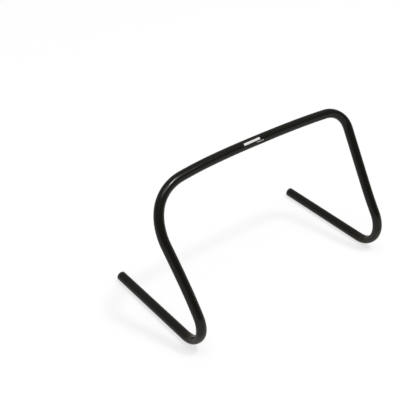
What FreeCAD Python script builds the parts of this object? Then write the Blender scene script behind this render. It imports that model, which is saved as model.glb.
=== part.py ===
# Speed hurdle: one length of plastic pipe bent into a bar, two legs and two feet, with a plug in each end.
# Frame: +X to the right along the bar, +Y back along the feet, +Z up. The origin lies on the floor, midway
# between the feet and midway between the front of the floor bends and the tips of the feet.
import FreeCAD, Part
import math
import os
import Sketcher

# Lengths in millimetres, angles in degrees
SIZES = [
    ("tube_diameter", 20, "outside of the pipe"),
    ("tube_wall", 2, "wall of the pipe"),
    ("foot_spread", 489, "between the centre lines of the two feet"),
    ("foot_run", 215.5, "straight pipe from the floor bend to the cut end"),
    ("floor_bend_radius", 51, "centre line of the bend at the floor"),
    ("leg_angle", 54.5, "between a foot and the plane of the legs"),
    ("leg_radius", 1450, "centre line of a leg, which flares outwards a little"),
    ("frame_rise", 253, "from the floor bends to the crown of the bar, along the plane of the legs"),
    ("left_top_radius", 92, "centre line of the left top bend"),
    ("right_top_radius", 49, "centre line of the right top bend"),
    ("bar_radius", 2700, "centre line of the bar, which is crowned a little"),
    ("plug_head", 2.5, "thickness of the plug's head"),
    ("plug_edge", 1, "round on the rim of the head"),
    ("plug_barrel", 16, "length of the plug inside the pipe"),
    ("plug_wall", 1.8, "wall of the hollow barrel"),
    ("rib_height", 0.7, "grip rib above the barrel"),
    ("rib_bite", 0.05, "how far a rib presses into the bore, on the radius"),
    ("rib_slope", 2.4, "length of a rib's lead-in along the barrel"),
    ("rib_pitch", 4.2, "from one rib to the next"),
    ("rib_first", 3, "from the seat of the head to the first rib"),
    ("rib_count", 3, "number of ribs on a plug"),
]

# Two places closer than this are the same place
TOUCH = 1e-4

doc = FreeCAD.newDocument("speed_hurdle")
sheet = doc.addObject("Spreadsheet::Sheet", "sizes")
for row, (alias, value, note) in enumerate(SIZES, start=1):
    sheet.set(f"A{row}", note)
    sheet.set(f"B{row}", str(value))
    sheet.setAlias(f"B{row}", alias)
doc.recompute()

# Formulas that the sketches share
tube_radius = "sizes.tube_diameter / 2"
bore_radius = "(sizes.tube_diameter / 2 - sizes.tube_wall)"
half_spread = "sizes.foot_spread / 2"
leg_base_y = "-sizes.floor_bend_radius * sin(sizes.leg_angle)"
leg_base_z = f"{tube_radius} + sizes.floor_bend_radius * (1 + cos(sizes.leg_angle))"
footprint_front = f"(sizes.floor_bend_radius + {tube_radius})"
footprint_back = "(sizes.foot_run + sizes.plug_head)"
bend_start_y = f"({footprint_front} - {footprint_back}) / 2"
rib_radius = f"{bore_radius} + sizes.rib_bite"
barrel_radius = f"{rib_radius} - sizes.rib_height"


def number(formula):
    value = sheet.evalExpression(formula)
    return getattr(value, "Value", value)


def line(x1, y1, x2, y2):
    return Part.LineSegment(FreeCAD.Vector(x1, y1, 0), FreeCAD.Vector(x2, y2, 0))


def circle(x, y, radius):
    return Part.Circle(FreeCAD.Vector(x, y, 0), FreeCAD.Vector(0, 0, 1), radius)


def arc(x, y, radius, start, end):
    return Part.ArcOfCircle(circle(x, y, radius), math.radians(start), math.radians(end))


def add_sketch(body, name, role):
    sketch = body.newObject("Sketcher::SketchObject", name)
    plane = next(item for item in body.Origin.OriginFeatures if item.Role == role)
    sketch.AttachmentSupport = [(plane, "")]
    sketch.MapMode = "FlatFace"
    return sketch


def fix(sketch, kind, *target):
    sketch.addConstraint(Sketcher.Constraint(kind, *target))


def drive(sketch, kind, *target):
    # The last item of target is the formula that drives this dimension
    *place, formula = target
    value = number(formula)
    if kind == "Angle":
        value = math.radians(value)
    index = sketch.addConstraint(Sketcher.Constraint(kind, *place, value))
    sketch.setExpression(f"Constraints[{index}]", formula)


def draw_foot_path(body, side, sign):
    # Foot and floor bend, in the upright plane of the foot's centre line
    sketch = add_sketch(body, f"{side}_foot_path", "YZ_Plane")
    sketch.setExpression("AttachmentOffset.Base.y", tube_radius)
    sketch.setExpression("AttachmentOffset.Base.z", f"{sign} * {half_spread}")
    radius = number("sizes.floor_bend_radius")
    foot = sketch.addGeometry(line(number("sizes.foot_run"), 0, 0, 0))
    bend = sketch.addGeometry(arc(0, radius, radius, 90 + number("sizes.leg_angle"), 270))
    fix(sketch, "Coincident", foot, 2, -1, 1)
    fix(sketch, "Horizontal", foot)
    fix(sketch, "Tangent", foot, 2, bend, 2)
    drive(sketch, "DistanceX", -1, 1, foot, 1, "sizes.foot_run")
    drive(sketch, "Radius", bend, "sizes.floor_bend_radius")
    drive(sketch, "Angle", bend, "180 - sizes.leg_angle")
    return sketch


def draw_frame_path(body):
    # Legs, top bends and bar, in a plane that leans back over the feet
    sketch = add_sketch(body, "frame_path", "XZ_Plane")
    first_turn = FreeCAD.Rotation(FreeCAD.Vector(1, 0, 0), 1)
    sketch.AttachmentOffset = FreeCAD.Placement(FreeCAD.Vector(), first_turn)
    sketch.setExpression("AttachmentOffset.Base.y", leg_base_z)
    sketch.setExpression("AttachmentOffset.Base.z", f"-({leg_base_y})")
    sketch.setExpression("AttachmentOffset.Rotation.Angle", "sizes.leg_angle - 90")

    # A first layout with a level bar, which the constraints then finish
    base = number(half_spread)
    rise = number("sizes.frame_rise")
    flare = number("sizes.leg_radius")
    left = number("sizes.left_top_radius")
    right = number("sizes.right_top_radius")
    crown = number("sizes.bar_radius")
    left_turn = math.degrees(math.asin((rise - left) / flare))
    right_turn = math.degrees(math.asin((rise - right) / flare))
    bar_turn = math.degrees(math.asin((base - left) / crown))
    left_leg = sketch.addGeometry(arc(-base - flare, 0, flare, 0, left_turn))
    left_bend = sketch.addGeometry(arc(left - base, rise - left, left, 90, 180))
    bar = sketch.addGeometry(arc(0, rise - crown, crown, 90 - bar_turn, 90 + bar_turn))
    right_bend = sketch.addGeometry(arc(base - right, rise - right, right, 0, 90))
    right_leg = sketch.addGeometry(arc(base + flare, 0, flare, 180 - right_turn, 180))
    top = sketch.addGeometry(Part.Point(FreeCAD.Vector(0, rise, 0)), True)

    fix(sketch, "Tangent", left_leg, 2, left_bend, 2)
    fix(sketch, "Tangent", left_bend, 1, bar, 2)
    fix(sketch, "Tangent", bar, 1, right_bend, 2)
    fix(sketch, "Tangent", right_bend, 1, right_leg, 1)
    for leg, foot_end in ((left_leg, 1), (right_leg, 2)):
        fix(sketch, "PointOnObject", leg, foot_end, -1)
        fix(sketch, "PointOnObject", leg, 3, -1)
        drive(sketch, "Radius", leg, "sizes.leg_radius")
    drive(sketch, "DistanceX", left_leg, 1, -1, 1, half_spread)
    drive(sketch, "DistanceX", -1, 1, right_leg, 2, half_spread)
    drive(sketch, "Radius", left_bend, "sizes.left_top_radius")
    drive(sketch, "Radius", right_bend, "sizes.right_top_radius")
    drive(sketch, "Radius", bar, "sizes.bar_radius")
    fix(sketch, "PointOnObject", bar, 3, -2)
    fix(sketch, "PointOnObject", top, 1, -2)
    fix(sketch, "PointOnObject", top, 1, bar)
    drive(sketch, "DistanceY", -1, 1, top, 1, "sizes.frame_rise")
    return sketch


def add_pipe(body, name, path):
    # The pipe's wall, swept from the start of the path's first edge to the end of its last
    doc.recompute()
    section = body.newObject("Sketcher::SketchObject", f"{name}_section")
    section.AttachmentSupport = [(path, "Edge1")]
    section.MapMode = "NormalToEdge"
    section.MapPathParameter = 0
    outer = section.addGeometry(circle(0, 0, number(tube_radius)))
    inner = section.addGeometry(circle(0, 0, number(bore_radius)))
    for ring, formula in ((outer, tube_radius), (inner, bore_radius)):
        fix(section, "Coincident", ring, 3, -1, 1)
        drive(section, "Radius", ring, formula)
    pipe = body.newObject("PartDesign::AdditivePipe", name)
    pipe.Profile = section
    pipe.Spine = (path, [f"Edge{index}" for index, edge in enumerate(path.Shape.Edges, start=1)])
    doc.recompute()


def make_tube():
    # Drawn with y = 0 where the straight feet run into the floor bends
    body = doc.addObject("PartDesign::Body", "bent_tube")
    body.setExpression("Placement.Base.y", bend_start_y)
    paths = {
        "frame": draw_frame_path(body),
        "left_foot": draw_foot_path(body, "left", -1),
        "right_foot": draw_foot_path(body, "right", 1),
    }
    for name, path in paths.items():
        add_pipe(body, name, path)
    run = sum(path.Shape.Length for path in paths.values())
    wall_area = math.pi * (number(tube_radius) ** 2 - number(bore_radius) ** 2)
    print(f"pipe: {run:.1f} mm long, {body.Shape.Volume:.1f} mm3 against {run * wall_area:.1f} by length")
    return body


def draw_plug_profile(body, side):
    # Half section, from the head at y > 0 outside the pipe to the open end of the hollow barrel inside it
    sketch = add_sketch(body, f"{side}_plug_profile", "XY_Plane")
    head = number("sizes.plug_head")
    depth = number("sizes.plug_barrel")
    wide = number(tube_radius)
    outer = number(barrel_radius)
    inner = outer - number("sizes.plug_wall")
    corners = [(0, 0), (0, head), (wide, head), (wide, 0)]
    corners += [(outer, 0), (outer, -depth), (inner, -depth), (inner, 0)]
    edges = []
    for here, there in zip(corners, corners[1:] + corners[:1]):
        edges.append(sketch.addGeometry(line(*here, *there)))
    for edge, following in zip(edges, edges[1:] + edges[:1]):
        fix(sketch, "Coincident", edge, 2, following, 1)
    axis, top, rim, seat, outside, mouth, inside, floor = edges
    for edge in (axis, rim, outside, inside):
        fix(sketch, "Vertical", edge)
    for edge in (top, seat, mouth, floor):
        fix(sketch, "Horizontal", edge)
    fix(sketch, "Coincident", axis, 1, -1, 1)
    fix(sketch, "PointOnObject", outside, 1, -1)
    drive(sketch, "DistanceY", axis, 1, axis, 2, "sizes.plug_head")
    drive(sketch, "DistanceX", top, 1, top, 2, tube_radius)
    drive(sketch, "DistanceX", -1, 1, outside, 1, barrel_radius)
    drive(sketch, "DistanceY", outside, 2, outside, 1, "sizes.plug_barrel")
    drive(sketch, "DistanceX", mouth, 2, mouth, 1, "sizes.plug_wall")
    return sketch


def draw_rib_profile(body, side):
    # A barb: square towards the head, sloped towards the barrel's open end
    sketch = add_sketch(body, f"{side}_rib_profile", "XY_Plane")
    foot = number(barrel_radius)
    tip = number(rib_radius)
    high = -number("sizes.rib_first")
    low = high - number("sizes.rib_slope")
    flat = sketch.addGeometry(line(foot, high, tip, high))
    slope = sketch.addGeometry(line(tip, high, foot, low))
    root = sketch.addGeometry(line(foot, low, foot, high))
    for edge, following in ((flat, slope), (slope, root), (root, flat)):
        fix(sketch, "Coincident", edge, 2, following, 1)
    fix(sketch, "Horizontal", flat)
    fix(sketch, "Vertical", root)
    drive(sketch, "DistanceX", -1, 1, flat, 2, rib_radius)
    drive(sketch, "DistanceX", flat, 1, flat, 2, "sizes.rib_height")
    drive(sketch, "DistanceY", flat, 1, -1, 1, "sizes.rib_first")
    drive(sketch, "DistanceY", root, 1, root, 2, "sizes.rib_slope")
    return sketch


def turn_about_y(body, name, profile):
    turned = body.newObject("PartDesign::Revolution", name)
    turned.Profile = profile
    turned.ReferenceAxis = (profile, ["V_Axis"])
    turned.Angle = 360
    doc.recompute()
    return turned


def repeat_rib(body, side, rib):
    ribs = body.newObject("PartDesign::LinearPattern", f"{side}_plug_ribs")
    ribs.Originals = [rib]
    ribs.Direction = (rib.Profile[0], ["V_Axis"])
    ribs.Reversed = True
    ribs.setExpression("Length", "sizes.rib_pitch * (sizes.rib_count - 1)")
    ribs.setExpression("Occurrences", "sizes.rib_count")
    body.Tip = ribs
    doc.recompute()
    return ribs


def round_rim(body, side, plug):
    # The rim is the only edge at the top of the head
    top = plug.Shape.BoundBox.YMax
    rim = []
    for index, edge in enumerate(plug.Shape.Edges, start=1):
        if edge.BoundBox.YMin > top - TOUCH:
            rim.append(f"Edge{index}")
    rounded = body.newObject("PartDesign::Fillet", f"{side}_plug_rim")
    rounded.Base = (plug, rim)
    rounded.setExpression("Radius", "sizes.plug_edge")
    body.Tip = rounded
    doc.recompute()


def make_plug(side, sign):
    # Drawn with y = 0 at the seat of the head on the pipe's cut end
    body = doc.addObject("PartDesign::Body", f"{side}_end_plug")
    body.setExpression("Placement.Base.x", f"{sign} * {half_spread}")
    body.setExpression("Placement.Base.y", f"{bend_start_y} + sizes.foot_run")
    body.setExpression("Placement.Base.z", tube_radius)
    turn_about_y(body, f"{side}_plug_turned", draw_plug_profile(body, side))
    rib = turn_about_y(body, f"{side}_plug_rib", draw_rib_profile(body, side))
    round_rim(body, side, repeat_rib(body, side, rib))
    return body


def check_and_write(bodies):
    doc.recompute()
    for item in doc.Objects:
        if "Invalid" in item.State or "Error" in item.State:
            raise RuntimeError(f"{item.Name} failed: {item.State}")
    os.makedirs("parts", exist_ok=True)
    for body in bodies:
        if body.Shape.isNull() or not body.Shape.isValid():
            raise RuntimeError(f"{body.Label} has no valid shape")
    for body in bodies:
        body.Shape.exportStep(f"parts/{body.Label}.step")
        print(f"{body.Label}: {len(body.Shape.Solids)} solid, {body.Shape.Volume:.1f} mm3")


check_and_write([make_tube(), make_plug("left", -1), make_plug("right", 1)])
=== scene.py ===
from math import cos, log, pi, radians, sin

import bpy
from mathutils import Matrix, Vector


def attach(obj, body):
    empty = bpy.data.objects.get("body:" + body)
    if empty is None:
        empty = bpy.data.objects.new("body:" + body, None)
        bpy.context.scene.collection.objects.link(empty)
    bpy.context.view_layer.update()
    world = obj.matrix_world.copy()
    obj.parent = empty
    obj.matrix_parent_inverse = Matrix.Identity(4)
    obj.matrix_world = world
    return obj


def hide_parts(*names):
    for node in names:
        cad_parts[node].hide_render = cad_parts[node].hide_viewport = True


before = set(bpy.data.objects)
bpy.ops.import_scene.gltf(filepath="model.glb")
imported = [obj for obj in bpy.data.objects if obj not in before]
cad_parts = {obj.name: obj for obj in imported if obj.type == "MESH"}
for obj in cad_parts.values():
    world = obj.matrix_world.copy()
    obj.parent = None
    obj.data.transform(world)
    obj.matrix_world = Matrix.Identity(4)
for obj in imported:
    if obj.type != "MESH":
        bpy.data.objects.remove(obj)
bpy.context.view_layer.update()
scene = bpy.context.scene
print("frame loaded:", ", ".join(sorted(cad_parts)))


def mm(value):
    return value / 1000


def perMetre(size):  # how many cells of this many millimetres make a metre, as a texture's scale
    return 1000 / size


def linear(hexColour):
    parts = [int(hexColour[i:i + 2], 16) / 255 for i in (1, 3, 5)]
    return [c / 12.92 if c <= 0.04045 else ((c + 0.055) / 1.055) ** 2.4 for c in parts] + [1.0]


def addNode(tree, kind, inputs, **settings):
    node = tree.nodes.new(kind)
    for key, value in settings.items():
        setattr(node, key, value)
    for socket, value in inputs.items():
        if isinstance(value, bpy.types.NodeSocket):
            tree.links.new(value, node.inputs[socket])
        else:
            node.inputs[socket].default_value = value
    return node


def clearSelection():
    if bpy.context.mode != "OBJECT":
        bpy.ops.object.mode_set(mode="OBJECT")
    bpy.ops.object.select_all(action="DESELECT")


def applyAll(piece):
    for modifier in list(piece.modifiers):
        bpy.ops.object.modifier_apply(modifier=modifier.name)


# Camera, at the photo's angle
camera = {
    "aim": (-160.517, -21.222, 258.85),  # mm
    "azimuth": -38.662,
    "elevation": 35.893,
    "distance": 1415.724,  # mm
    "lens": 69.309,
    "sensor": 36.0,
}


def placeCamera():
    turn, lift = radians(camera["azimuth"]), radians(camera["elevation"])
    back = Vector((sin(turn) * cos(lift), -cos(turn) * cos(lift), sin(lift)))
    spot = (Vector(camera["aim"]) + back * camera["distance"]) / 1000
    bpy.ops.object.camera_add(location=spot, rotation=(pi / 2 - lift, 0, turn))
    seen = bpy.context.object
    seen.data.lens = camera["lens"]
    seen.data.sensor_width = camera["sensor"]
    scene.camera = seen


clearSelection()
placeCamera()
print("camera placed")


# The pipe: one length, hot bent by hand, followed from the left foot's end to the right one's.
# Lengths in mm, turns in degrees
pipe = {
    "outside": 20.0,
    "wall": 2.0,
    "footSpread": 489.0,
    "footEnd": 137.0,  # where the pipe is cut, behind the middle
    "lean": 54.5,
    "leftFoot": 213.12,
    "rightFoot": 219.14,
    # each bend as the bender left it: its turn, the radii in equal shares of that turn,
    # how far the heat let it flatten, and where along it
    "leftFloorBend": (125.5, (53.87, 53.88, 52.63, 49.67, 46.05), 0.2, 0.38),
    "leftTopBend": (89.24, (125.77, 94.41, 76.52, 84.87, 101.5), 0.03, 0.5),
    "rightTopBend": (89.315, (57.58, 52.04, 46.82, 42.98, 40.46), 0.12, 0.55),
    "rightFloorBend": (125.5, (65.88, 56.19, 48.88, 45.71, 45.08), 0.17, 0.6),
    # the near-straight runs: radius and turn, and a radius below zero bows the other way
    "leftLeg": ((1010.9, 2.696), (2083.7, 1.308), (5113.4, 0.533)),
    "bar": ((1120.6, 3.872), (2377.6, 1.825), (5793.1, 0.749), (3547.9, 1.223), (1996.8, 2.173)),
    "rightLeg": ((-12162.7, 0.298), (16108.9, 0.225), (921.09, 3.935)),
    "heldWall": 0.7,  # how near the outer wall a flattened section keeps its place
    "bulge": 0.6,  # how much of the flattening comes out at the sides
    "gather": 1.5,  # how closely the flattening gathers round its worst place
    "around": 64,
    "ringStep": 5.0,
    "bendStep": 2.4,
    "crease": 40,  # edges sharper than this many degrees stay sharp
}


def frontFrame():
    lean = radians(pipe["lean"])
    up = Vector((0, cos(lean), sin(lean)))
    return up, Vector((1, 0, 0)).cross(up)  # up the frame, and out of its front


def leftFootEnd():  # the middle of the pipe's cut end
    return Vector((mm(-pipe["footSpread"] / 2), mm(pipe["footEnd"]), mm(pipe["outside"] / 2)))


def pipeRoute():  # name, length or radius, turn, axis, and for a bend where its share begins and how large it is
    front, right = frontFrame()[1], Vector((1, 0, 0))
    turning = (
        ("leftFloorBend", -right),
        ("leftLeg", front),
        ("leftTopBend", -front),
        ("bar", -front),
        ("rightTopBend", -front),
        ("rightLeg", front),
        ("rightFloorBend", right),
    )
    route = [("leftFoot", pipe["leftFoot"], 0, None, 0, 0)]
    for name, axis in turning:
        if "Bend" in name:
            whole, radii = pipe[name][:2]
            share = 1 / len(radii)
            for number, radius in enumerate(radii):
                route.append((name, radius, radians(whole * share), axis, number * share, share))
        else:
            for radius, turn in pipe[name]:
                route.append((name, abs(radius), radians(turn), axis if radius > 0 else -axis, 0, 0))
    return route + [("rightFoot", pipe["rightFoot"], 0, None, 0, 0)]


def flattening(name, share):  # nothing at the bend's ends, most where it gave way
    depth, worst = pipe[name][2:]
    return depth * max(0, sin(pi * share ** (log(0.5) / log(worst)))) ** pipe["gather"]


def squeezeRing(at, inward, ahead, thin, wide):
    hold = at - inward * mm(pipe["outside"] / 2 * pipe["heldWall"])
    axes = (inward, ahead.cross(inward), ahead)
    bpy.ops.transform.resize(
        value=(thin, wide, 1), orient_type="GLOBAL", orient_matrix=axes, orient_matrix_type="GLOBAL",
        constraint_axis=(True, True, False), center_override=hold)


def growPipe():
    at = leftFootEnd()
    ahead, side, top = Vector((0, -1, 0)), Vector((1, 0, 0)), Vector((0, 0, 1))
    bpy.ops.mesh.primitive_circle_add(
        vertices=pipe["around"], radius=mm(pipe["outside"] / 2), location=at, rotation=(pi / 2, 0, 0))
    piece = bpy.context.object
    piece.name = "hurdle_pipe"
    bpy.ops.object.transform_apply()
    bpy.ops.object.mode_set(mode="EDIT")
    bpy.ops.mesh.select_all(action="SELECT")
    rings, along, flat = [(at.copy(), side.copy(), top.copy(), 0)], 0, 0
    for kind, size, turn, axis, begin, share in pipeRoute():
        straight = axis is None
        length = size if straight else size * turn
        count = max(2, round(length / pipe["bendStep" if share else "ringStep"]))
        for step in range(1, count + 1):
            along += length / count
            if straight:
                move = ahead * mm(length / count)
                bpy.ops.mesh.extrude_region_move(TRANSFORM_OT_translate={"value": move})
                at = at + move
            else:
                centre = at + axis.cross(ahead) * mm(size)
                bpy.ops.mesh.spin(steps=1, angle=-turn / count, center=centre, axis=axis)  # spin counts the other way
                swing = Matrix.Rotation(turn / count, 3, axis)
                at = centre + swing @ (at - centre)
                ahead, side, top = swing @ ahead, swing @ side, swing @ top
            if share:
                was, flat = flat, flattening(kind, begin + share * step / count)
                thin = (1 - flat) / (1 - was)
                wide = (1 + pipe["bulge"] * flat) / (1 + pipe["bulge"] * was)
                squeezeRing(at, axis.cross(ahead), ahead, thin, wide)
            rings.append((at.copy(), side.copy(), top.copy(), mm(along)))
    bpy.ops.object.mode_set(mode="OBJECT")
    print("pipe grown:", len(rings), "rings,", round(along, 1), "mm, ends at", [round(v * 1000, 2) for v in at])
    return piece, rings


def markUnbent(piece, rings):  # where each point sat on the straight pipe, so that die lines follow the bends
    note = piece.data.attributes.new("unbent", "FLOAT_VECTOR", "POINT")
    for number, vertex in enumerate(piece.data.vertices):
        at, side, top, along = rings[number // pipe["around"]]
        out = vertex.co - at
        note.data[number].vector = (out.dot(side), out.dot(top), along)


def wallPipe(piece):
    bpy.ops.object.mode_set(mode="EDIT")
    bpy.ops.mesh.select_all(action="SELECT")
    bpy.ops.mesh.normals_make_consistent(inside=False)
    bpy.ops.object.mode_set(mode="OBJECT")
    bpy.ops.object.shade_smooth_by_angle(angle=radians(pipe["crease"]))
    wall = piece.modifiers.new("wall", "SOLIDIFY")
    wall.thickness = mm(pipe["wall"])
    wall.offset = -1  # inwards
    applyAll(piece)


clearSelection()
pipePiece, pipeRings = growPipe()
markUnbent(pipePiece, pipeRings)
wallPipe(pipePiece)
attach(pipePiece, "root")
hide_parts("bent_tube")
print("pipe walled")


# The plugs: one moulded plug, turned ring by ring from its mouth to its face, then copied to the other foot.
# Diameters and lengths in mm
plug = {
    "around": 64,
    "bore": 11.1,
    "mouthEase": 0.3,  # broken edge at the mouth of the bore
    "leadIn": 0.4,  # broken edge round the barrel's far end
    "barrel": 14.7,
    "depth": 16.0,
    "ribs": 16.0,
    "ribSlope": 2.4,
    "ribFlat": 0.15,
    "ribPlaces": (11.4, 7.2, 3.0),  # from the seat, deepest first
    "head": 20.0,
    "seatEase": 0.25,  # broken edge where the head meets the pipe
    "thick": 2.5,
    "edge": 1.0,
    "edgeStep": 15,  # degrees from one ring of the rounded edge to the next
    "rim": 2.2,  # from the outside to the dish
    "dish": 0.35,
    "dishSlope": 0.5,
    "dishKnee": 0.4,  # share of the dish's depth in the middle of its slope
    "gate": ((3.9, 0.0), (3.0, 0.12), (2.6, 0.22), (1.4, 0.22)),  # moulding nub: diameter, height above the dish
    "crease": 35,
}


def plugProfile():  # (diameter, height above the seat on the pipe's end)
    bore, barrel, ribs, head = plug["bore"], plug["barrel"], plug["ribs"], plug["head"]
    deep, ease, lead, seat = -plug["depth"], plug["mouthEase"], plug["leadIn"], plug["seatEase"]
    thick, edge, dish = plug["thick"], plug["edge"], plug["dish"]
    rows = [(bore, deep + ease), (bore + 2 * ease, deep), (barrel - 2 * lead, deep), (barrel, deep + lead)]
    for place in plug["ribPlaces"]:
        rows += [(barrel, -place - plug["ribSlope"]), (ribs, -place - plug["ribFlat"])]
        rows += [(ribs, -place), (barrel, -place)]
    rows += [(barrel, 0), (head - 2 * seat, 0), (head, seat)]
    for turn in range(0, 91, plug["edgeStep"]):
        rows.append((head - 2 * edge * (1 - cos(radians(turn))), thick - edge * (1 - sin(radians(turn)))))
    inner, run = head - 2 * plug["rim"], 2 * plug["dishSlope"]
    rows += [(inner, thick), (inner - run, thick - dish * plug["dishKnee"]), (inner - 2 * run, thick - dish)]
    return rows + [(wide, thick - dish + rise) for wide, rise in plug["gate"]]


def turnPlug():
    seat = leftFootEnd()
    wide, height = plug["bore"], 0.0
    bpy.ops.mesh.primitive_circle_add(
        vertices=plug["around"], radius=mm(wide / 2), fill_type="TRIFAN", location=seat, rotation=(pi / 2, 0, 0))
    piece = bpy.context.object
    bpy.ops.object.transform_apply()
    bpy.ops.object.mode_set(mode="EDIT")
    bpy.ops.mesh.select_all(action="DESELECT")
    bpy.ops.mesh.select_non_manifold()  # the open edge of the floor of the bore
    for newWide, newHeight in plugProfile():
        bpy.ops.mesh.extrude_region_move(TRANSFORM_OT_translate={"value": (0, mm(newHeight - height), 0)})
        spot = Vector((seat.x, seat.y + mm(newHeight), seat.z))
        scale = newWide / wide
        bpy.ops.transform.resize(value=(scale, 1, scale), center_override=spot)
        wide, height = newWide, newHeight
    bpy.ops.mesh.edge_face_add()
    bpy.ops.mesh.poke()
    bpy.ops.mesh.select_all(action="SELECT")
    bpy.ops.mesh.normals_make_consistent(inside=False)
    bpy.ops.object.mode_set(mode="OBJECT")
    bpy.ops.object.shade_smooth_by_angle(angle=radians(plug["crease"]))
    return piece


def copyPlug():  # the left plug is still selected
    bpy.ops.object.duplicate()
    other = bpy.context.object
    other.location.x = mm(pipe["footSpread"])
    bpy.ops.object.transform_apply()
    return other


clearSelection()
leftPlug = turnPlug()
rightPlug = copyPlug()
for piece, name, node in (
        (leftPlug, "left_foot_plug", "left_end_plug"), (rightPlug, "right_foot_plug", "right_end_plug")):
    piece.name = name
    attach(piece, "root")
    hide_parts(node)
print("plugs turned")


# The bar's mark: a plain printed stripe over a thin line, laid on the pipe as a film of ink. Lengths in mm
mark = {
    "stripe": (1.5, 2.4, 41.0, 5.6),  # along the bar, up the frame, length, height
    "line": (21.0, -4.4, 18.0, 1.0),
    "cell": (2.0, 1 / 3),  # the grid's cells, along and up
    "middle": 4.0,  # how near the middle of the bar it takes its height from
    "hover": 1.0,  # in front of the pipe before it is laid on
    "gap": 0.02,
    "film": 0.06,
}


def printMark():
    up, front = frontFrame()
    near = [ring[0] for ring in pipeRings if abs(ring[0].x) < mm(mark["middle"])]
    middle = max(near, key=lambda spot: spot.z)
    cellLong, cellHigh = mark["cell"]
    made = []
    for across, lift, wide, high in (mark["stripe"], mark["line"]):
        place = middle + front * mm(pipe["outside"] / 2 + mark["hover"]) + up * mm(lift)
        place.x = mm(across)
        bpy.ops.mesh.primitive_grid_add(
            x_subdivisions=round(wide / cellLong), y_subdivisions=max(2, round(high / cellHigh)), size=1,
            location=place, rotation=(radians(pipe["lean"]), 0, 0))
        strip = bpy.context.object
        strip.scale = (mm(wide), mm(high), 1)
        bpy.ops.object.transform_apply()
        made.append(strip)
    for strip in made:
        strip.select_set(True)
    bpy.ops.object.join()
    piece = bpy.context.object
    piece.name = "bar_mark"
    wrap = piece.modifiers.new("lay", "SHRINKWRAP")
    wrap.target = pipePiece
    wrap.offset = mm(mark["gap"])
    film = piece.modifiers.new("film", "SOLIDIFY")
    film.thickness = mm(mark["film"])
    film.offset = 1  # outwards
    applyAll(piece)
    bpy.ops.object.shade_smooth_by_angle(angle=radians(pipe["crease"]))
    return piece


clearSelection()
markPiece = printMark()
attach(markPiece, "root")
print("mark printed")


def newFinish(name):
    finish = bpy.data.materials.new(name)
    finish.use_nodes = True
    return finish, finish.node_tree, finish.node_tree.nodes["Principled BSDF"]


noiseSpan = {"From Min": 0.3, "From Max": 0.7}  # nearly all of a noise's values lie between these


# Extruded rigid PVC, black: a dull body under a thin glossy skin that shows the lamp as a soft streak,
# faint lines drawn along it by the die, grey wear underneath where it stands, and round the floor bends a lighter
# grey that is partly scuffing and partly a painted sheen standing in for the floor's reflection
pipeLook = {
    "black": "#0f0d07",
    # grey for rubbing underneath, and for scuffing with painted sheen round the floor bends
    "wornAndPaintedSheen": "#3d3621",
    "ior": 1.54,
    "bodySheen": 0.02,  # the body is dull, and most of the gloss is in its skin
    "bodyRough": (0.5, 0.62),
    "skin": 0.37,  # how much of the body the glossy skin covers
    "gloss": 0.15,  # the skin's roughness
    "dieLine": 0.9,  # mm from one line to the next, coarser than real ones so that they show
    "dieLineLong": 250.0,  # mm
    "dieLineBump": (0.3, 0.04),  # strength, and depth in mm
    "peel": 2.6,  # mm across a ripple of the skin
    "peelBump": (0.25, 0.05),
    "rub": 7.0,  # mm across a rubbed patch
    "rubHeight": 7.0,  # mm above the floor, where rubbing ends
    "rubCut": (0.48, 0.66),  # part of the cloud that makes rubbed patches
    "scuffAndSheenHeight": (105.0, 25.0),  # mm above the floor, where the scuffing and painted sheen begin and are full
    "scuffAndSheenFront": (-62.0, -104.0),  # mm from the middle, likewise, so that it stays at the floor bends
    "scuffAndSheenMost": 0.44,
    "scuffAndSheenLeast": 0.2,  # share of that between the patches
    "scuffAndSheenCut": (0.38, 0.62),
}


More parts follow.
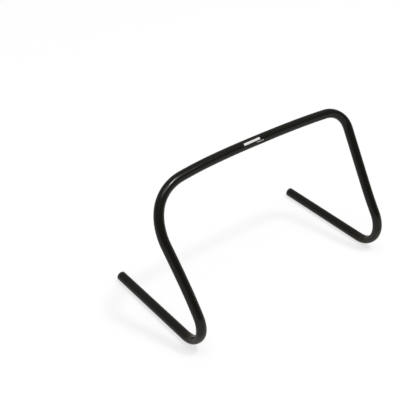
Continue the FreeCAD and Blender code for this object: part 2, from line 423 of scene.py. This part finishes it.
def makePipePlastic():
    plastic, tree, shader = newFinish("extruded_rigid_pvc_black")
    shader.inputs["IOR"].default_value = pipeLook["ior"]
    shader.inputs["Specular IOR Level"].default_value = pipeLook["bodySheen"]
    shader.inputs["Coat Weight"].default_value = pipeLook["skin"]
    shader.inputs["Coat IOR"].default_value = pipeLook["ior"]
    shader.inputs["Coat Roughness"].default_value = pipeLook["gloss"]

    # lines and ripples, which follow the pipe round its bends
    unbent = addNode(tree, "ShaderNodeAttribute", {}, attribute_name="unbent").outputs["Vector"]
    across, along = perMetre(pipeLook["dieLine"]), perMetre(pipeLook["dieLineLong"])
    drawn = addNode(tree, "ShaderNodeMapping", {"Vector": unbent, "Scale": (across, across, along)})
    lines = addNode(tree, "ShaderNodeTexNoise", {
        "Vector": drawn.outputs["Vector"], "Scale": 1.0, "Detail": 2.0, "Roughness": 0.6}).outputs["Fac"]
    peel = addNode(tree, "ShaderNodeTexNoise", {
        "Vector": unbent, "Scale": perMetre(pipeLook["peel"]), "Detail": 1.0}).outputs["Fac"]

    # rubbed patches underneath
    where = addNode(tree, "ShaderNodeTexCoord", {}).outputs["Object"]
    place = addNode(tree, "ShaderNodeSeparateXYZ", {"Vector": where})
    cloud = addNode(tree, "ShaderNodeTexNoise", {
        "Vector": where, "Scale": perMetre(pipeLook["rub"]), "Detail": 4.0, "Roughness": 0.65}).outputs["Fac"]
    low = addNode(tree, "ShaderNodeMapRange", {
        "Value": place.outputs["Z"], "From Min": mm(pipeLook["rubHeight"]), "From Max": 0.0})
    least, most = pipeLook["rubCut"]
    patch = addNode(tree, "ShaderNodeMapRange", {"Value": cloud, "From Min": least, "From Max": most})
    rub = addNode(tree, "ShaderNodeMath", {
        0: low.outputs["Result"], 1: patch.outputs["Result"]}, operation="MULTIPLY")

    # patchy scuffs round the floor bends, with painted sheen: their lighter grey also stands in for the floor's
    # reflection there
    begins, full = pipeLook["scuffAndSheenHeight"]
    lower = addNode(tree, "ShaderNodeMapRange", {
        "Value": place.outputs["Z"], "From Min": mm(begins), "From Max": mm(full),
        "To Max": pipeLook["scuffAndSheenMost"]}, interpolation_type="SMOOTHSTEP")
    begins, full = pipeLook["scuffAndSheenFront"]
    forward = addNode(tree, "ShaderNodeMapRange", {
        "Value": place.outputs["Y"], "From Min": mm(begins), "From Max": mm(full)}, interpolation_type="SMOOTHSTEP")
    bends = addNode(tree, "ShaderNodeMath", {
        0: lower.outputs["Result"], 1: forward.outputs["Result"]}, operation="MULTIPLY")
    least, most = pipeLook["scuffAndSheenCut"]
    mottle = addNode(tree, "ShaderNodeMapRange", {
        "Value": cloud, "From Min": least, "From Max": most, "To Min": pipeLook["scuffAndSheenLeast"]})
    scuffAndSheen = addNode(tree, "ShaderNodeMath", {
        0: bends.outputs["Value"], 1: mottle.outputs["Result"]}, operation="MULTIPLY")

    # the lighter grey: real rubbing underneath, and scuffing with painted sheen round the floor bends
    wearAndSheen = addNode(tree, "ShaderNodeMath", {
        0: rub.outputs["Value"], 1: scuffAndSheen.outputs["Value"]}, operation="MAXIMUM")
    colour = addNode(tree, "ShaderNodeMix", {
        "Factor": wearAndSheen.outputs["Value"], "A": linear(pipeLook["black"]), "B": linear(pipeLook["wornAndPaintedSheen"])},
        data_type="RGBA")
    tree.links.new(colour.outputs["Result"], shader.inputs["Base Color"])
    smooth, rough = pipeLook["bodyRough"]
    dull = addNode(tree, "ShaderNodeMapRange", {
        "Value": lines, **noiseSpan, "To Min": smooth, "To Max": rough})
    tree.links.new(dull.outputs["Result"], shader.inputs["Roughness"])
    strength, depth = pipeLook["peelBump"]
    ripple = addNode(tree, "ShaderNodeBump", {"Height": peel, "Strength": strength, "Distance": mm(depth)})
    strength, depth = pipeLook["dieLineBump"]
    drag = addNode(tree, "ShaderNodeBump", {
        "Height": lines, "Strength": strength, "Distance": mm(depth), "Normal": ripple.outputs["Normal"]})
    for socket in ("Normal", "Coat Normal"):
        tree.links.new(drag.outputs["Normal"], shader.inputs[socket])
    return plastic


# Moulded polyethylene, black: a satin skin with the fine spark texture of its mould, a little cloudy
plugLook = {
    "black": "#151514",
    "bloom": "#1f1f1e",
    "ior": 1.51,
    "rough": (0.41, 0.54),
    "cloud": 4.5454545,  # mm across a cloud of bloom
    "spark": 0.45,  # mm from pit to pit
    "sparkBump": (0.35, 0.04),  # strength, and depth in mm
}


def makePlugPlastic():
    plastic, tree, shader = newFinish("moulded_polyethylene_black")
    shader.inputs["IOR"].default_value = plugLook["ior"]
    where = addNode(tree, "ShaderNodeTexCoord", {}).outputs["Object"]
    spark = addNode(tree, "ShaderNodeTexNoise", {
        "Vector": where, "Scale": perMetre(plugLook["spark"]), "Detail": 2.0}).outputs["Fac"]
    bloom = addNode(tree, "ShaderNodeTexNoise", {
        "Vector": where, "Scale": perMetre(plugLook["cloud"]), "Detail": 3.0}).outputs["Fac"]
    colour = addNode(tree, "ShaderNodeMix", {
        "Factor": bloom, "A": linear(plugLook["black"]), "B": linear(plugLook["bloom"])}, data_type="RGBA")
    tree.links.new(colour.outputs["Result"], shader.inputs["Base Color"])
    smooth, rough = plugLook["rough"]
    satin = addNode(tree, "ShaderNodeMapRange", {
        "Value": bloom, **noiseSpan, "To Min": smooth, "To Max": rough})
    tree.links.new(satin.outputs["Result"], shader.inputs["Roughness"])
    strength, depth = plugLook["sparkBump"]
    grain = addNode(tree, "ShaderNodeBump", {"Height": spark, "Strength": strength, "Distance": mm(depth)})
    tree.links.new(grain.outputs["Normal"], shader.inputs["Normal"])
    return plastic


# Screen-printed white ink: flat and chalky, greyer in specks where it lies thin on the black
inkLook = {
    "white": "#dddcd7",
    "thin": "#bdbbb6",
    "rough": 0.55,
    "speck": 0.8,  # mm
    "speckCut": (0.56, 0.74),  # part of the noise that makes specks
}


def makeInk():
    ink, tree, shader = newFinish("screen_printed_ink_white")
    shader.inputs["Roughness"].default_value = inkLook["rough"]
    where = addNode(tree, "ShaderNodeTexCoord", {}).outputs["Object"]
    speck = addNode(tree, "ShaderNodeTexNoise", {
        "Vector": where, "Scale": perMetre(inkLook["speck"]), "Detail": 3.0}).outputs["Fac"]
    least, most = inkLook["speckCut"]
    thin = addNode(tree, "ShaderNodeMapRange", {"Value": speck, "From Min": least, "From Max": most})
    colour = addNode(tree, "ShaderNodeMix", {
        "Factor": thin.outputs["Result"], "A": linear(inkLook["white"]), "B": linear(inkLook["thin"])},
        data_type="RGBA")
    tree.links.new(colour.outputs["Result"], shader.inputs["Base Color"])
    return ink


pipePiece.data.materials.append(makePipePlastic())
plugPlastic = makePlugPlastic()
for piece in (leftPlug, rightPlug):
    piece.data.materials.append(plugPlastic)
markPiece.data.materials.append(makeInk())
print("finishes made")


# Floor and light: a pale paper floor that sweeps up past the horizon, a lamp with a long softbox
# round it, and a soft room
studio = {
    "floorSize": 400.0,  # metres, so that low views look out over paper too
    "floorColour": "#fbfbfa",
    "floorGlow": 0.7,  # how far the floor goes to plain white, so that its shadow stays faint
    "lampFrom": (0.25, -0.28, 0.93),
    "lampStrength": 1.1,
    "lampSpread": 8.0,
    "softboxFrom": (0.084, -0.247, 0.966),
    "softboxAlong": (0.69, -0.56, -0.2),
    "softboxSize": (6.4, 1.7),  # metres
    "softboxAway": 6.0,
    "softboxPower": 138.0,
    "roomFrom": (0, 0.64, 0.77),  # the room is palest overhead and behind
    "roomFade": (-0.6, 1.0),  # from its darkest to its palest, as a cosine
    "roomDark": 0.1,
    "roomPale": 0.58,
    "sweepRise": (0.3, 0.03),  # where the paper has faded out above the horizon and where it is full, as sines
    "sweepLevel": 0.92,
}


def shownRays(tree):  # the rays that show the paper: straight, mirrored or through glass
    path = addNode(tree, "ShaderNodeLightPath", {})
    mirror = addNode(tree, "ShaderNodeMath", {
        0: path.outputs["Is Glossy Ray"], 1: path.outputs["Is Transmission Ray"]}, operation="MAXIMUM")
    seen = addNode(tree, "ShaderNodeMath", {
        0: path.outputs["Is Camera Ray"], 1: mirror.outputs["Value"]}, operation="MAXIMUM")
    return seen.outputs["Value"]


def makeFloor():
    bpy.ops.mesh.primitive_plane_add(size=studio["floorSize"])
    floor = bpy.context.object
    floor.name = "floor"
    paper, tree, shader = newFinish("matt_paper_floor")
    tree.nodes.remove(shader)
    matt = addNode(tree, "ShaderNodeBsdfDiffuse", {"Color": linear(studio["floorColour"])})
    glow = addNode(tree, "ShaderNodeEmission", {"Color": (1, 1, 1, 1), "Strength": 1.0})
    share = addNode(tree, "ShaderNodeMath", {0: shownRays(tree), 1: studio["floorGlow"]}, operation="MULTIPLY")
    mixed = addNode(tree, "ShaderNodeMixShader", {
        0: share.outputs["Value"], 1: matt.outputs["BSDF"], 2: glow.outputs["Emission"]})
    tree.links.new(mixed.outputs["Shader"], tree.nodes["Material Output"].inputs["Surface"])
    floor.data.materials.append(paper)


def hangLamp():
    aim = Vector(studio["lampFrom"]).to_track_quat("Z", "Y").to_euler()
    bpy.ops.object.light_add(type="SUN", rotation=aim)
    lamp = bpy.context.object
    lamp.data.energy = studio["lampStrength"]
    lamp.data.angle = radians(studio["lampSpread"])


def hangSoftbox():
    facing = Vector(studio["softboxFrom"]).normalized()
    along = Vector(studio["softboxAlong"])
    along = (along - facing * along.dot(facing)).normalized()
    turned = Matrix((along, facing.cross(along), facing)).transposed().to_euler()
    bpy.ops.object.light_add(type="AREA", location=facing * studio["softboxAway"], rotation=turned)
    softbox = bpy.context.object
    softbox.data.shape = "RECTANGLE"
    softbox.data.size, softbox.data.size_y = studio["softboxSize"]
    softbox.data.energy = studio["softboxPower"]


def lightRoom():
    room = bpy.data.worlds.new("soft_room")
    scene.world = room
    room.use_nodes = True
    tree = room.node_tree
    sky = tree.nodes["Background"]
    sky.inputs["Color"].default_value = (1, 1, 1, 1)
    where = addNode(tree, "ShaderNodeTexCoord", {}).outputs["Generated"]
    facing = addNode(tree, "ShaderNodeVectorMath", {0: where, 1: studio["roomFrom"]}, operation="DOT_PRODUCT")
    dark, pale = studio["roomFade"]
    fade = addNode(tree, "ShaderNodeMapRange", {
        "Value": facing.outputs["Value"], "From Min": dark, "From Max": pale,
        "To Min": studio["roomDark"], "To Max": studio["roomPale"]})
    height = addNode(tree, "ShaderNodeSeparateXYZ", {"Vector": where})
    gone, full = studio["sweepRise"]
    sweep = addNode(tree, "ShaderNodeMapRange", {
        "Value": height.outputs["Z"], "From Min": gone, "From Max": full}, interpolation_type="SMOOTHSTEP")
    share = addNode(tree, "ShaderNodeMath", {
        0: shownRays(tree), 1: sweep.outputs["Result"]}, operation="MULTIPLY")
    level = addNode(tree, "ShaderNodeMix", {
        "Factor": share.outputs["Value"], "A": fade.outputs["Result"], "B": studio["sweepLevel"]}, data_type="FLOAT")
    tree.links.new(level.outputs["Result"], sky.inputs["Strength"])


clearSelection()
makeFloor()
hangLamp()
hangSoftbox()
lightRoom()
scene.view_settings.view_transform = "Standard"
print("studio lit")
